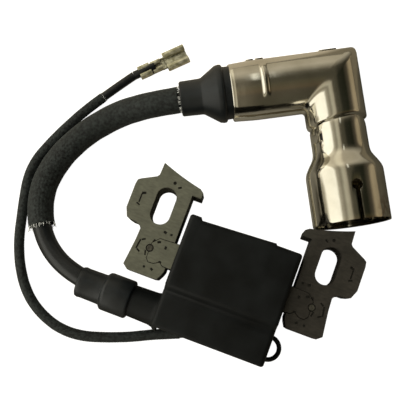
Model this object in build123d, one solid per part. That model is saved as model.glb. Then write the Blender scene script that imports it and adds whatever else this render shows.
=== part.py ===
from build123d import *
import math
import os

# Ignition coil of a small four-stroke engine, in millimetres.
# X runs along the line of the two mounting slots, Y points to the flywheel, Z is the stack's normal.
# The origin is midway between the slots on the seating face of the laminations. The coil lies with
# its potted side down on a surface at table_z, and both leads lie on that surface.

# ---- driving sizes -------------------------------------------------------------------------------
table_z = -9.0
running_gap = 0.05  # radial clearance where one piece turns or slides on another

stack_height = 12.0
slot_spacing = 60.3
slot_width = 7.0
slot_length = 13.3
pole_radius = 95.6  # flywheel radius plus the air gap
leg_gap = 1.5  # air between the case and the right leg
leg_width = 13.1
ear_reach = 7.1
pole_tip_y = 14.5
toe_reach = 3.2
toe_y = 6.8
leg_bottom_y = -24.8
core_width = 9.2
core_y = -15.25
key_reach = 7.5  # how far the core's keyed end goes into a leg
key_drop = 0.6
lock_pin_radius = 1.0

housing_width = 40.0
housing_x = 0.4
housing_bottom_y = -39.7
terrace_step = 2.3  # how far the terrace lies below the case's top
housing_wall = 1.6
split_wall = 1.05
front_pour = 2.75  # epoxy between the windings and the case's front wall
housing_fillet = 2.6
terrace_fillet = 1.8
hook_y = -33.4
hook_z = -4.0
hook_height = 4.0
hook_radius = 4.9
hook_bar = 1.7
potting_recess = 1.0
coil_gap = 0.3  # epoxy between the windings and what is beside them

tower_y = -34.5
tower_z = 0.0
tower_radius = 5.9
tower_end_radius = 5.55
tower_length = 18.0
boot_collar_radius = 6.95
boot_collar_length = 10.2
boot_cover = 7.2  # how much of the tower the boot's collar covers
boot_length = 20.0

lead_diameter = 7.0
lead_core_diameter = 2.0
braid_diameter = 9.8
braid_slack = 0.1

kill_diameter = 3.3
kill_core_diameter = 1.3
kill_sleeve_diameter = 3.9

bobbin_wall = 0.8
bobbin_fit = 0.1
primary_build = 1.2
secondary_build = 2.4
bobbin_length = 33.0
flange_thickness = 1.0
rib_stand = 0.2  # how far the secondary bobbin's ribs stand above the wire

cap_angle = 27.5
cap_x = 9.6
cap_y = 64.7
shell_sheet = 0.5
arm_radius = 10.6
neck_radius = 9.75
mouth_radius = 13.5
corner_radius = 3.0
arm_length = 36.2
mouth_length = 52.8
crease_y = 15.4
neck_end_y = 26.6
shoulder_end_y = 33.2
seam_overlap = 3.0
slit_y = 41.0
slit_hole_radius = 1.9
slit_width = 1.5
clip_radius = 3.15
clip_length = 10.0
clip_wall = 0.5
clip_start_y = 8.0

spade_angle = 45.0
spade_sheet = 0.4

# ---- derived places ------------------------------------------------------------------------------
leg_inner_x = housing_x + housing_width / 2 + leg_gap
leg_outer_x = leg_inner_x + leg_width
ear_x = leg_outer_x + ear_reach
toe_x = leg_inner_x - toe_reach
# The windings stand this far proud of the core all round, and the case closes over them.
coil_depth = 2 * bobbin_fit + 2 * bobbin_wall + primary_build + secondary_build + rib_stand
coil_low_y = core_y - core_width / 2 - coil_depth - coil_gap
coil_high_y = core_y + core_width / 2 + coil_depth + coil_gap
housing_split_y = coil_low_y - split_wall
housing_top_y = coil_high_y + front_pour + housing_wall
housing_top_z = stack_height + coil_depth + coil_gap + housing_wall
terrace_z = housing_top_z - terrace_step
cap_z = table_z + mouth_radius + shell_sheet
braid_z = table_z + braid_diameter / 2
kill_z = table_z + kill_sleeve_diameter / 2
spade_z = table_z + 0.05
wire_end_z = spade_z + spade_sheet + kill_diameter / 2

os.makedirs("parts", exist_ok=True)


def save(name, shape):
    export_step(shape, "parts/" + name + ".step")


def box_between(low, high):
    size = [b - a for a, b in zip(low, high)]
    middle = [(a + b) / 2 for a, b in zip(low, high)]
    return Pos(*middle) * Box(*size)


def mirrored(shape):
    return mirror(shape, about=Plane.YZ)


def rod(start, end, radius):
    """A round bar from one point to another."""
    path = Line(start, end)
    return sweep(Plane(origin=start, z_dir=path % 0) * Circle(radius), path=path)


def ring(start, end, outer, inner):
    return rod(start, end, outer) - rod(start, end, inner)


# ---- laminated stacks ----------------------------------------------------------------------------
def key_outline():
    """The keyed end of the core on the right, from the leg's inner edge outwards."""
    top = core_y + core_width / 2
    low = core_y - core_width / 2
    tip = leg_inner_x + key_reach
    points = [
        (leg_inner_x - 1, top),
        (leg_inner_x, top),
        (tip - 2.2, top - 0.3),
        (tip, top - 2.6),
        (tip, low + 1.0),
        (tip - 1.1, low - key_drop + 0.4),
        (tip - 3.0, low - key_drop + 0.5),
        (leg_inner_x + 2.6, low + 1.0),
        (leg_inner_x + 1.1, low),
        (leg_inner_x - 1, low),
    ]
    return make_face(Polyline(*points, close=True))


def leg_outline():
    """The right leg: the pole face is hollow to the flywheel, the ear carries the slot."""
    centre_y = pole_tip_y + math.sqrt(pole_radius**2 - leg_outer_x**2)

    def face_y(x):
        return centre_y - math.sqrt(pole_radius**2 - x**2)

    toe_top_x = toe_x + 1.3
    mid_x = (toe_top_x + leg_outer_x) / 2
    edges = [
        ThreePointArc((toe_top_x, face_y(toe_top_x)), (mid_x, face_y(mid_x)), (leg_outer_x, pole_tip_y)),
        Polyline(
            (leg_outer_x, pole_tip_y),
            (leg_outer_x + 0.2, 9.9),
            (leg_outer_x + 0.8, 9.1),
            (ear_x - 1.3, 6.5),
            (ear_x - 0.3, 5.8),
            (ear_x, 4.0),
            (ear_x, -4.7),
            (ear_x - 1.3, -7.7),
            (ear_x - 3.1, -8.2),
            (leg_outer_x + 2.5, -8.2),
            (leg_outer_x + 0.6, -9.0),
            (leg_outer_x - 0.1, -10.0),
            (leg_outer_x + 0.1, -14.3),
            (leg_outer_x + 1.1, leg_bottom_y + 1.5),
            (leg_outer_x - 0.8, leg_bottom_y),
            (leg_inner_x + 2.7, leg_bottom_y),
            (leg_inner_x + 1.5, leg_bottom_y + 0.3),
            (leg_inner_x + 0.5, leg_bottom_y + 2.1),
            (leg_inner_x, leg_bottom_y + 3.6),
            (leg_inner_x, toe_y),
            (toe_x, toe_y),
            (toe_x, 9.0),
            (toe_top_x, face_y(toe_top_x)),
        ),
    ]
    return make_face(Wire(edges[0].edges() + edges[1].edges()))


slot = Pos(slot_spacing / 2, 0) * Rot(0, 0, 90) * SlotOverall(slot_length, slot_width)
leg_plan = leg_outline() - slot - key_outline()
right_leg = extrude(leg_plan, stack_height)
core_plan = Pos(0, core_y) * Rectangle(2 * leg_inner_x, core_width) + key_outline() + mirrored(key_outline())
core = extrude(core_plan, stack_height)

# A round pin, driven in where each keyed end meets its leg, locks the joint.
lock_pin_x = leg_inner_x + key_reach
lock_pin_y = core_y
lock_pins = [
    Pos(side * lock_pin_x, lock_pin_y, stack_height / 2) * Cylinder(lock_pin_radius, stack_height)
    for side in (-1, 1)
]
right_leg = right_leg - lock_pins
core = core - lock_pins

save("right_pole_laminations", right_leg)
save("left_pole_laminations", mirrored(right_leg))
save("centre_core_laminations", core)
save("core_lock_pins", Compound(children=lock_pins))

# ---- coil housing --------------------------------------------------------------------------------
left_x = housing_x - housing_width / 2
right_x = housing_x + housing_width / 2
core_mid_z = stack_height / 2

winding_block = box_between((left_x, housing_split_y, table_z), (right_x, housing_top_y, housing_top_z))
winding_block = fillet(winding_block.edges().group_by(Axis.Z)[-1], housing_fillet)
terrace_inner_y = housing_split_y + housing_fillet + terrace_fillet  # it ends inside the winding block
terrace_block = box_between((left_x, housing_bottom_y, table_z), (right_x, terrace_inner_y, terrace_z))
terrace_block = fillet(terrace_block.edges().group_by(Axis.Z)[-1], terrace_fillet)
case = winding_block + terrace_block
tower_tip_x = left_x - tower_length
cover_x = tower_tip_x + boot_cover
tower = rod((cover_x, tower_y, tower_z), (tower_tip_x, tower_y, tower_z), tower_end_radius)
tower += Pos((left_x + 1 + cover_x) / 2, tower_y, tower_z) * Rot(0, -90, 0) * Cone(
    tower_radius, tower_end_radius, left_x + 1 - cover_x
)
hook_ring = Cylinder(hook_radius, hook_height) - Cylinder(hook_radius - hook_bar, hook_height)
hook_low = (right_x - housing_wall / 2, hook_y - hook_radius, hook_z - hook_height / 2)
hook_high = (right_x + 2 * hook_radius, hook_y + hook_radius, hook_z + hook_height / 2)
hook = Pos(right_x + 0.6, hook_y, hook_z) * hook_ring & box_between(hook_low, hook_high)
case = case + tower + hook

cavity_low = (left_x + housing_wall, housing_bottom_y + housing_wall, table_z)
cavity_high = (right_x - housing_wall, housing_top_y - housing_wall, housing_top_z - housing_wall)
cavity = box_between(cavity_low, (cavity_high[0], cavity_high[1], terrace_z - housing_wall))
cavity += box_between((cavity_low[0], coil_low_y, terrace_z - 2 * housing_wall), cavity_high)
core_window = box_between(
    (left_x - 1, core_y - core_width / 2 - bobbin_fit, -bobbin_fit),
    (right_x + 1, core_y + core_width / 2 + bobbin_fit, stack_height + bobbin_fit),
)
lead_radius = lead_diameter / 2
lead_tail_x = left_x - 3.0
lead_hole = lead_radius + running_gap
tower_bore = rod((tower_tip_x - 1, tower_y, tower_z), (lead_tail_x, tower_y, tower_z), lead_hole)
pin_radius = lead_core_diameter / 2 - running_gap
pin_head_length = 1.5
pin_start = (left_x + 8.0, tower_y, tower_z)
pin_back = (left_x + 8.0 + pin_head_length, tower_y, tower_z)
pin_end = (lead_tail_x, tower_y, tower_z)
contact_pin = rod(pin_start, pin_end, pin_radius)
contact_pin += rod(pin_start, pin_back, 2.6)

# ---- leads ---------------------------------------------------------------------------------------
cap_frame = Location((cap_x, cap_y, cap_z), (0, 0, cap_angle))


def cap_point(x, y, z=0.0):
    """A point of the cap's own frame, in the part's frame."""
    place = cap_frame * Pos(x, y, z)
    return tuple(place.position)


def tangent_arcs(points, share=0.45):
    """Straight runs joined by arcs that are as large as the two runs allow."""
    radii = []
    for before, here, after in zip(points, points[1:], points[2:]):
        run_in = Vector(*here) - Vector(*before)
        run_out = Vector(*after) - Vector(*here)
        half_turn = math.radians(run_in.get_angle(run_out) / 2)
        radii.append(share * min(run_in.length, run_out.length) / math.tan(half_turn))
    print("arc radii", [round(radius, 1) for radius in radii])
    return FilletPolyline(*points, radius=radii)


def along(path, radius):
    return sweep(Plane(origin=path @ 0, z_dir=path % 0) * Circle(radius), path=path)


def check_tube(name, tube, path, radius):
    share = tube.volume / (math.pi * radius**2 * path.length)
    print(name, "length", round(path.length, 1), "volume share", round(share, 4))


lead_route = [
    (-31.0, tower_y, tower_z),
    (-50.5, tower_y, tower_z),
    (-68.5, -26.5, -3.4),
    (-77.5, -9.0, braid_z),
    (-74.0, 10.0, braid_z),
    (-60.8, 27.6, -1.6),
    cap_point(-59.8, 0),
    cap_point(-44.2, 0),
]
lead_path = tangent_arcs(lead_route)
lead_tail = cap_point(-26.2, 0)
lead_core_tail = cap_point(-33.0, 0)
tail_start = lead_route[-1]
jacket = along(lead_path, lead_radius)
check_tube("plug lead", jacket, lead_path, lead_radius)
jacket += rod(lead_route[0], pin_end, lead_radius)
jacket += rod(tail_start, lead_tail, lead_radius)
lead_bore = along(lead_path, lead_core_diameter / 2)
lead_bore += rod(lead_route[0], pin_end, lead_core_diameter / 2)
conductor = lead_bore + rod(tail_start, lead_core_tail, lead_core_diameter / 2)
jacket -= lead_bore + rod(tail_start, lead_tail, lead_core_diameter / 2)

braid_start = Plane(origin=(-71.6, -20.6, braid_z), z_dir=(-0.5, 0.866, 0))
cap_turn = math.radians(cap_angle)
braid_end = Plane(origin=cap_point(-56.4, 0), z_dir=(math.cos(cap_turn), math.sin(cap_turn), 0))
braid = along(lead_path, braid_diameter / 2) - along(lead_path, lead_radius + braid_slack)
braid = split(braid, bisect_by=braid_start, keep=Keep.TOP)
braid = split(braid, bisect_by=braid_end, keep=Keep.BOTTOM)

kill_route = [
    (-2.0, -36.4, -4.6),
    (-14.5, -41.0, kill_z),
    (-31.5, -49.4, kill_z),
    (-49.5, -54.6, kill_z),
    (-66.5, -48.2, kill_z),
    (-77.0, -33.5, kill_z),
    (-81.8, -16.0, kill_z),
    (-85.0, -1.5, kill_z),
    (-79.8, 13.0, kill_z),
    (-71.2, 30.0, kill_z),
    (-60.6, 45.0, wire_end_z),
]
kill_path = tangent_arcs(kill_route)
wire = along(kill_path, kill_diameter / 2)
check_tube("kill lead", wire, kill_path, kill_diameter / 2)
kill_core = along(kill_path, kill_core_diameter / 2)
wire_tip = Vector(*kill_route[-1])
spade_turn = math.radians(spade_angle)
spade_way = Vector(math.cos(spade_turn), math.sin(spade_turn), 0)
bare_end = wire_tip + spade_way * 7.5
wire = wire + rod(kill_route[-1], wire_tip + spade_way * 4.6, kill_diameter / 2)
kill_core_all = kill_core + rod(kill_route[-1], bare_end, kill_core_diameter / 2)
wire = wire - kill_core_all
kill_sleeve = along(kill_path, kill_sleeve_diameter / 2) - along(kill_path, kill_diameter / 2)
kill_exit = Plane(origin=(-10.6, -39.5, -6), z_dir=(-0.938, -0.345, 0))
kill_sleeve = split(kill_sleeve, bisect_by=kill_exit, keep=Keep.TOP)
sleeve_end = Plane(origin=(-68.9, 33.2, kill_z), z_dir=(0.57, 0.82, 0))
kill_sleeve = split(kill_sleeve, bisect_by=sleeve_end, keep=Keep.BOTTOM)
kill_envelope = along(kill_path, kill_sleeve_diameter / 2 + 0.1)

save("ht_lead_jacket", jacket)
save("ht_lead_conductor", conductor)
save("ht_lead_braided_sleeve", braid)
save("kill_lead_insulation", wire)
save("kill_lead_conductor", kill_core_all)
save("kill_lead_woven_sleeve", kill_sleeve)

# ---- windings and circuit inside the housing -----------------------------------------------------
bobbin_start = housing_x - bobbin_length / 2


def core_sleeve(start, length, half_y, half_z, inner_y, inner_z):
    """A rectangular sleeve round the core, with its length along X."""
    outer = Pos(start + length / 2, core_y, core_mid_z) * Box(length, 2 * half_y, 2 * half_z)
    inner = Pos(start + length / 2, core_y, core_mid_z) * Box(length + 2, 2 * inner_y, 2 * inner_z)
    outer = fillet(outer.edges().filter_by(Axis.X), min(half_y, half_z) * 0.25)
    return outer - inner


window_y = core_width / 2 + bobbin_fit
window_z = stack_height / 2 + bobbin_fit
tube_y = window_y + bobbin_wall
tube_z = window_z + bobbin_wall
primary_y = tube_y + primary_build
primary_z = tube_z + primary_build
secondary_in_y = primary_y + bobbin_fit
secondary_in_z = primary_z + bobbin_fit
secondary_tube_y = secondary_in_y + bobbin_wall
secondary_tube_z = secondary_in_z + bobbin_wall
secondary_y = secondary_tube_y + secondary_build
secondary_z = secondary_tube_z + secondary_build
rib_y = secondary_y + rib_stand
rib_z = secondary_z + rib_stand

primary_bobbin = Pos(housing_x, core_y, core_mid_z) * Box(bobbin_length, 2 * tube_y, 2 * tube_z)
for end in (-1, 1):
    flange_at = Pos(housing_x + end * (bobbin_length - flange_thickness) / 2, core_y, core_mid_z)
    primary_bobbin += flange_at * Box(flange_thickness, 2 * primary_y, 2 * primary_z)
primary_bobbin -= core_window
winding_length = bobbin_length - 2 * flange_thickness
primary_winding = Pos(housing_x, core_y, core_mid_z) * Box(winding_length, 2 * primary_y, 2 * primary_z)
primary_winding = fillet(primary_winding.edges().filter_by(Axis.X), primary_build)
primary_winding -= Pos(housing_x, core_y, core_mid_z) * Box(winding_length + 2, 2 * tube_y, 2 * tube_z)

section_count = 5
rib = 0.9
winding_corner = 1.5
section_length = (bobbin_length - (section_count + 1) * rib) / section_count
coil_middle = Pos(housing_x, core_y, core_mid_z)
secondary_bobbin = coil_middle * Box(bobbin_length, 2 * secondary_tube_y, 2 * secondary_tube_z)
for index in range(section_count + 1):
    rib_x = bobbin_start + rib / 2 + index * (section_length + rib)
    secondary_bobbin += Pos(rib_x, core_y, core_mid_z) * Box(rib, 2 * rib_y, 2 * rib_z)
secondary_bobbin -= coil_middle * Box(bobbin_length + 2, 2 * secondary_in_y, 2 * secondary_in_z)
sections = []
for index in range(section_count):
    section_x = bobbin_start + rib + section_length / 2 + index * (section_length + rib)
    section_middle = Pos(section_x, core_y, core_mid_z)
    coil = section_middle * Box(section_length, 2 * secondary_y, 2 * secondary_z)
    coil = fillet(coil.edges().filter_by(Axis.X), winding_corner)
    coil -= section_middle * Box(section_length + 2, 2 * secondary_tube_y, 2 * secondary_tube_z)
    sections.append(coil)

# The trigger circuit stands on edge in the terrace, its parts on the side away from the core.
board_y = core_y - rib_y - coil_gap
board_thickness = 1.2
board_start_x = -9.0
board_end_x = 16.0
board_face_y = board_y - board_thickness
board = box_between((board_start_x, board_face_y, -5.0), (board_end_x, board_y, 12.0))
chip = box_between((-6.0, board_face_y - 2.0, 1.0), (2.0, board_face_y, 7.0))
transistor = box_between((5.0, board_face_y - 4.4, -3.0), (14.5, board_face_y, 7.0))
capacitor_radius = 2.2
capacitor_y = board_face_y - capacitor_radius
capacitor = rod((4.0, capacitor_y, 9.6), (13.0, capacitor_y, 9.6), capacitor_radius)
resistor_radius = 1.1
resistor_y = board_face_y - resistor_radius
resistors = []
for height in (-3.2, 9.4):
    resistors.append(rod((-6.5, resistor_y, height), (-1.0, resistor_y, height), resistor_radius))
strip_y = core_y - core_width / 2 - bobbin_fit
strip_thickness = 0.3
strip_x = right_x - housing_wall
strip_low_z = 4.0
strip_high_z = 7.0
earth_strip = box_between((strip_x - strip_thickness, board_y, strip_low_z), (strip_x, strip_y, strip_high_z))
strip_foot_y = board_y - strip_thickness
earth_strip += box_between((board_end_x, strip_foot_y, strip_low_z), (strip_x, board_y, strip_high_z))

case = case - cavity - core_window - tower_bore - rod(pin_start, pin_end, pin_radius) - kill_envelope
potting = cavity & box_between((-100, -100, table_z + potting_recess), (100, 100, 100))
held = [core_window, contact_pin, board, chip, transistor, capacitor, earth_strip, kill_envelope & cavity]
held += resistors
for piece in held:
    potting -= piece
potting -= Pos(housing_x, core_y, core_mid_z) * Box(bobbin_length, 2 * rib_y, 2 * rib_z)

save("coil_housing", case)
save("potting_resin", potting)
save("primary_bobbin", primary_bobbin)
save("primary_winding", primary_winding)
save("secondary_bobbin", secondary_bobbin)
save("secondary_winding", Compound(children=sections))
save("ht_contact_pin", contact_pin)
save("trigger_circuit_board", board)
save("control_chip", chip)
save("power_transistor", transistor)
save("trigger_capacitor", capacitor)
save("trigger_resistors", Compound(children=resistors))
save("earth_strip", earth_strip)

# ---- boot over the tower -------------------------------------------------------------------------
collar_end_x = cover_x - boot_collar_length
boot_tip_x = cover_x - boot_length
collar = rod((cover_x, tower_y, tower_z), (collar_end_x, tower_y, tower_z), boot_collar_radius)
collar = fillet(collar.edges().group_by(Axis.X)[0], 1.2)
boot_tail = rod((collar_end_x + 1, tower_y, tower_z), (boot_tip_x, tower_y, tower_z), tower_end_radius)
tower_boot = collar + boot_tail
tower_boot -= rod((cover_x, tower_y, tower_z), (tower_tip_x, tower_y, tower_z), tower_end_radius)
tower_boot -= rod((cover_x, tower_y, tower_z), (boot_tip_x - 1, tower_y, tower_z), lead_radius + running_gap)
tower_boot -= along(lead_path, lead_radius + running_gap)
save("tower_boot", tower_boot)

# ---- plug cap, modelled in its own frame: X along the lead's arm, -Y to the plug -----------------
mitre = Plane(origin=(0, 0, 0), z_dir=(-1, 1, 0))


def cap_body(grow, wide=mouth_radius, start=-arm_length, end=-mouth_length):
    """The solid bounded by the shells' surface moved out by grow: two arms joined at a mitre."""
    arm_r = arm_radius + grow
    neck_r = neck_radius + grow
    wide_r = wide + grow
    lead_arm = rod((start, 0, 0), (arm_r, 0, 0), arm_r)
    lead_arm = split(lead_arm, bisect_by=mitre, keep=Keep.TOP)
    half = [
        Line((0, arm_r), (arm_r, arm_r)),
        Line((arm_r, arm_r), (arm_r, -crease_y)),
        Line((arm_r, -crease_y), (neck_r, -crease_y - 1.3)),
        Line((neck_r, -crease_y - 1.3), (neck_r, -neck_end_y)),
        Spline(
            (neck_r, -neck_end_y),
            ((neck_r + wide_r) / 2, -(neck_end_y + shoulder_end_y) / 2),
            (wide_r, -shoulder_end_y),
            tangents=[(0, -1), (0, -1)],
        ),
        Line((wide_r, -shoulder_end_y), (wide_r, end)),
        Line((wide_r, end), (0, end)),
        Line((0, end), (0, arm_r)),
    ]
    plug_arm = revolve(make_face(Wire(half)), axis=Axis.Y)
    plug_arm = split(plug_arm, bisect_by=mitre, keep=Keep.BOTTOM)
    round_r = corner_radius + grow
    corner_x = arm_r - round_r
    corner = box_between((corner_x, corner_x, -arm_r), (arm_r + 1, arm_r + 1, arm_r))
    corner -= Pos(corner_x, corner_x, 0) * Cylinder(round_r, 3 * arm_r)
    return lead_arm + plug_arm - corner


reach = 80
outside = cap_body(0)
front_shell = outside - cap_body(-shell_sheet, start=-arm_length - 1, end=-mouth_length - 1)
front_shell = front_shell & box_between((-reach, -reach, -1.5), (reach, reach, reach))
front_shell -= Pos(1.2, -slit_y, 10) * Cylinder(slit_hole_radius, 20)
front_shell -= box_between((1.2 - slit_width / 2, -mouth_length - 1, 5), (1.2 + slit_width / 2, -slit_y, 20))

seam = box_between((-reach, -reach, -reach), (reach, reach, -0.5))
seam += box_between((-reach, -reach, -1), (0, 0, seam_overlap))
seam += box_between((-16, -23.4, 0), (0, -20.4, seam_overlap + 2.4))
for tab_x in (-27.0, -3.0, 6.0):
    seam += box_between((tab_x - 1.3, 0, -1), (tab_x + 1.3, 16, 2.2))
rear_shell = (cap_body(shell_sheet) - cap_body(0, start=-arm_length - 1, end=-mouth_length - 1)) & seam
# The mouth's inner corner is cut off at a slant through both shells.
cut_outer_x = -mouth_radius - 2 * shell_sheet
cut_top_y = 2.8 - mouth_length
cut_points = [
    (cut_outer_x, cut_top_y),
    (cut_outer_x, -mouth_length - 1),
    (2.1 - mouth_radius, -mouth_length - 1),
    (2.1 - mouth_radius, -mouth_length),
    (-mouth_radius - shell_sheet, cut_top_y),
]
corner_cut = extrude(make_face(Polyline(*cut_points, close=True)), mouth_radius + 2, both=True)
rear_shell -= corner_cut
front_shell -= corner_cut

boot_r = neck_radius - shell_sheet - 0.1
boot_in_x = -arm_length
boot_profile = [
    (boot_in_x - 18.5, 0),
    (boot_in_x - 18.5, 6.4),
    (boot_in_x - 10.6, 6.6),
    (boot_in_x - 4.3, 10.8),
    (boot_in_x - 2.8, 10.8),
    (boot_in_x - 2.4, 9.5),
    (boot_in_x, 9.5),
    (boot_in_x, arm_radius - shell_sheet - running_gap),
    (boot_in_x + 4, arm_radius - shell_sheet - running_gap),
    (boot_in_x + 5, boot_r),
    (boot_r, boot_r),
    (boot_r, 0),
]
rubber = revolve(make_face(Polyline(*boot_profile, close=True)), axis=Axis.X)
rubber = split(rubber, bisect_by=mitre, keep=Keep.TOP)
lining_end_y = 35.0
plug_side = rod((0, boot_r, 0), (0, -lining_end_y, 0), boot_r)
rubber += split(plug_side, bisect_by=mitre, keep=Keep.BOTTOM)
lead_end_x = -26.2
contact_radius = 2.4
contact_bore = contact_radius + 0.2
clip_end_y = clip_start_y + clip_length
lining_bore = 6.2  # clears the plug's insulator
rubber -= rod((boot_in_x - 20, 0, 0), (lead_end_x, 0, 0), lead_radius + running_gap)
rubber -= rod((lead_end_x, 0, 0), (4.0, 0, 0), contact_bore)
rubber -= rod((0, contact_bore, 0), (0, -clip_start_y, 0), contact_bore)
rubber -= rod((0, -clip_start_y, 0), (0, -clip_end_y, 0), clip_radius + clip_wall)
rubber -= rod((0, -clip_end_y, 0), (0, -lining_end_y - 1, 0), lining_bore)

# In line along the lead's arm: a screw in the lead's core, a resistor, a spring and the contact.
screw_head_x = lead_end_x + 0.1
resistor_start_x = -21.0
resistor_end_x = -9.0
contact_start_x = -3.0
spring_wire = 0.5
screw = rod((-32.9, 0, 0), (lead_end_x, 0, 0), lead_core_diameter / 2 - running_gap)
screw += rod((lead_end_x, 0, 0), (screw_head_x, 0, 0), lead_core_diameter / 2 - running_gap)
screw += rod((screw_head_x, 0, 0), (resistor_start_x, 0, 0), contact_radius)
resistor = rod((resistor_start_x, 0, 0), (resistor_end_x, 0, 0), 2.2)
spring_length = contact_start_x - resistor_end_x
spring_path = Helix(pitch=1.1, height=spring_length - spring_wire, radius=1.7)
spring_section = Plane(origin=spring_path @ 0, z_dir=spring_path % 0) * Circle(spring_wire / 2)
spring = sweep(spring_section, path=spring_path)
spring = Pos(resistor_end_x + spring_wire / 2, 0, 0) * Rot(0, 90, 0) * spring
elbow_contact = rod((contact_start_x, 0, 0), (contact_radius, 0, 0), contact_radius)
elbow_contact += rod((0, 0, 0), (0, -clip_start_y, 0), contact_radius)
clip = ring((0, -clip_start_y, 0), (0, -clip_end_y, 0), clip_radius + clip_wall, clip_radius)
clip -= box_between((-0.6, -clip_end_y - 1, 0), (0.6, -clip_start_y - 2.0, clip_radius + 1))

for name, shape in {
    "cap_front_shell": front_shell,
    "cap_rear_shell": rear_shell,
    "cap_elbow_boot": rubber,
    "cable_screw": screw,
    "suppressor_resistor": resistor,
    "resistor_spring": spring,
    "elbow_contact": elbow_contact,
    "plug_terminal_clip": clip,
}.items():
    save(name, cap_frame * shape)

# ---- spade terminal of the kill lead, in its own frame: X forwards, floor on z = 0 ---------------
spade_frame = Location((wire_tip.X, wire_tip.Y, spade_z), (0, 0, spade_angle))
box_width = 7.0
grip_half = kill_diameter / 2 + spade_sheet
floor = box_between((0, -grip_half, 0), (4.2, grip_half, spade_sheet))
floor += box_between((4.2, -1.7, 0), (10.4, 1.7, spade_sheet))
floor += box_between((10.4, -box_width / 2, 0), (18.6, box_width / 2, spade_sheet))
for side in (-1, 1):
    inner_wall = kill_diameter / 2
    floor += box_between((0.2, min(side * inner_wall, side * grip_half), 0),
                         (3.8, max(side * inner_wall, side * grip_half), 4.2))
    floor += box_between((5.2, min(side * 1.3, side * 1.7), 0), (8.6, max(side * 1.3, side * 1.7), 3.0))
    edge = side * box_width / 2
    floor += box_between((10.4, min(edge, edge - side * spade_sheet), 0),
                         (18.6, max(edge, edge - side * spade_sheet), 2.6))
    floor += box_between((10.4, min(edge, edge - side * 2.2), 1.4), (18.6, max(edge, edge - side * 2.2), 2.6))
floor -= rod((-1, 0, wire_end_z - spade_z), (4.7, 0, wire_end_z - spade_z), kill_diameter / 2)
save("kill_lead_spade_terminal", spade_frame * floor)
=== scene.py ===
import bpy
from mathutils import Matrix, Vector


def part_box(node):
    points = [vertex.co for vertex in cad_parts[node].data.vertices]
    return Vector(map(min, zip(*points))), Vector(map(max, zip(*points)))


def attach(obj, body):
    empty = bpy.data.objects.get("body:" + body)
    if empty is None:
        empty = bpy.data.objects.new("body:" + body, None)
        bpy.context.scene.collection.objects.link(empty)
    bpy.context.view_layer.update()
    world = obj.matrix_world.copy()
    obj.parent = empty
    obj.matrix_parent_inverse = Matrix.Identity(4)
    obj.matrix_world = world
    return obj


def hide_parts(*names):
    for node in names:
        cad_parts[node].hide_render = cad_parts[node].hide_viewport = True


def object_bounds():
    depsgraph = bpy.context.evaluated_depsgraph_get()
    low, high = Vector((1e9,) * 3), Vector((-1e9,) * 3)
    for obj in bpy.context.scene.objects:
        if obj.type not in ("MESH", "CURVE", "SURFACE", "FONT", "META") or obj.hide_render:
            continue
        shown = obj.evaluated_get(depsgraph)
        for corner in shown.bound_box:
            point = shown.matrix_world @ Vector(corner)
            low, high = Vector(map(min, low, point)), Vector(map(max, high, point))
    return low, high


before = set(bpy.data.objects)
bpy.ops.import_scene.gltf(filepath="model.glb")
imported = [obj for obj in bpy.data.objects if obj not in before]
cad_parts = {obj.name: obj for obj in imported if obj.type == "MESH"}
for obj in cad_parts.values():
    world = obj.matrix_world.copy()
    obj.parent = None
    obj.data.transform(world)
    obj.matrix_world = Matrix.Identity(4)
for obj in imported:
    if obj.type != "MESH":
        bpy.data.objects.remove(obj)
cad_bounds = [list(corner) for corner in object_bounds()]

import math
import random

import bmesh
import bpy
from mathutils import Matrix, Vector

# ---- table, light and camera ---------------------------------------------------------------------
# The coil lies on a white sheet of card, its potted side down, seen from almost straight above.
# A warm window stands to the lower left and a dark room is all round, which the plated cap mirrors.
mm = 0.001
table_z = cad_bounds[0][2]
across_plug_arm = (0.887, 0.4617, 0)
across_lead_arm = (-0.4617, 0.887, 0)
multiply_colours = {"data_type": "RGBA", "blend_type": "MULTIPLY"}
add_colours = {"data_type": "RGBA", "blend_type": "ADD"}


def new_material(name):
    material = bpy.data.materials.new(name)
    material.use_nodes = True
    return material, material.node_tree.nodes["Principled BSDF"]


def set_inputs(owner, node, inputs):
    """Links an input that is given another node's socket, and sets any other to its value."""
    for name, value in inputs.items():
        if isinstance(value, bpy.types.NodeSocket):
            owner.node_tree.links.new(value, node.inputs[name])
        else:
            node.inputs[name].default_value = value


def add_node(owner, kind, settings, inputs):
    """Adds a node with its settings and inputs. Bands are a colour ramp's places and colours."""
    node = owner.node_tree.nodes.new(kind)
    for name, value in settings.items():
        if name != "bands":
            setattr(node, name, value)
    bands = settings.get("bands", [])
    while bands and len(node.color_ramp.elements) < len(bands):
        node.color_ramp.elements.new(0.5)
    if bands:
        for element, (place, tone) in zip(node.color_ramp.elements, bands):
            element.position = place
            element.color = (*tone[:3], 1)
    set_inputs(owner, node, inputs)
    return node


def tone_bands(owner, place, across, low, high, bands):
    """Bands of tone along one level direction, each at its place between low and high."""
    along = add_node(owner, "ShaderNodeVectorMath", {"operation": "DOT_PRODUCT"}, {0: place, 1: across})
    spread = add_node(
        owner, "ShaderNodeMapRange", {}, {"Value": along.outputs["Value"], "From Min": low, "From Max": high}
    )
    ramp_bands = [((at - low) / (high - low), tone) for at, tone in bands]
    ramp = add_node(owner, "ShaderNodeValToRGB", {"bands": ramp_bands}, {"Fac": spread.outputs[0]})
    return ramp.outputs["Color"]


bpy.ops.object.select_all(action="DESELECT")
card_size = 6
card_clearance = 0.05 * mm
bpy.ops.mesh.primitive_plane_add(size=card_size, location=(0, 0, table_z - card_clearance))
card = bpy.context.object
card.name = "card"
card_white, card_shader = new_material("white_card")
card_place = add_node(card_white, "ShaderNodeTexCoord", {}, {}).outputs["Object"]
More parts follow.
